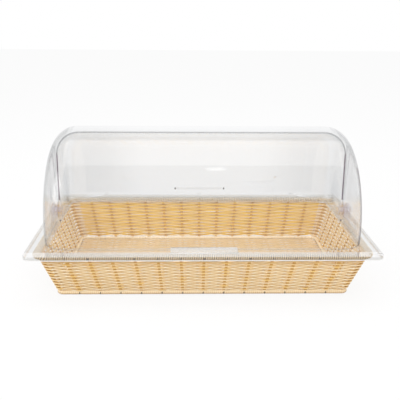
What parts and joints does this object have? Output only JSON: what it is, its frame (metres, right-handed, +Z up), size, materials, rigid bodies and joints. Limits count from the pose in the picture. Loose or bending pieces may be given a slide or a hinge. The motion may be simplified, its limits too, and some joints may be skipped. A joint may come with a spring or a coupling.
{
  "type": "countertop bread display bin",
  "caption": "Countertop bread display bin: a woven poly-rattan basket under a clear lift-off cover whose nested quarter drums roll open to the front and to the back.",
  "frame": {"origin": "centre of the bin on the surface it stands on, under the hinge axis of the shells", "axes": "+X along the bin to the right seen from the front, +Y to the back, +Z up; the front shell and its pull lip face -Y"},
  "size_m": [0.55, 0.345, 0.2475],
  "materials": {
    "cane": "satin",
    "stake": "satin",
    "band": "satin",
    "mat": "satin",
    "steel_wire": "drawn wire",
    "clear_shell": "clear polished acrylic",
    "clear_frame": "clear polished acrylic",
    "clear_handle": "clear polished acrylic",
    "clear_pin": "clear polished acrylic"
  },
  "bodies": {
    "basket": {"rim_wire": "steel_wire", "rim_wrap": "band", "foot_wire": "steel_wire", "foot_border": "band", "floor_mat": "mat", "floor_canes": "stake", "front_wall_weave": "cane", "back_wall_weave": "cane", "left_wall_weave": "cane", "right_wall_weave": "cane", "front_left_corner_weave": "cane", "front_right_corner_weave": "cane", "back_left_corner_weave": "cane", "back_right_corner_weave": "cane", "front_stakes": "stake", "back_stakes": "stake", "left_stakes": "stake", "right_stakes": "stake"},
    "cover": {"cover_frame": "clear_frame", "left_pivot_pin": "clear_pin", "right_pivot_pin": "clear_pin", "left_pin_cap": "clear_pin", "right_pin_cap": "clear_pin", "left_outer_washer": "clear_pin", "right_outer_washer": "clear_pin", "left_inner_washer": "clear_pin", "right_inner_washer": "clear_pin"},
    "front_cover": {"front_shell": "clear_shell", "front_handle": "clear_handle"},
    "rear_cover": {"rear_shell": "clear_shell", "rear_handle": "clear_handle"}
  },
  "joints": [
    {"name": "cover_lift", "type": "slide", "parent": "basket", "child": "cover", "axis": [0, 0, 1], "range_m": [0, 0.1]},
    {"name": "front_roll", "type": "hinge", "parent": "cover", "child": "front_cover", "pos_m": [0, 0, 0.1016], "axis": [-1, 0, 0], "range_deg": [0, 93]},
    {"name": "rear_roll", "type": "hinge", "parent": "cover", "child": "rear_cover", "pos_m": [0, 0, 0.1016], "axis": [1, 0, 0], "range_deg": [0, 93]}
  ]
}
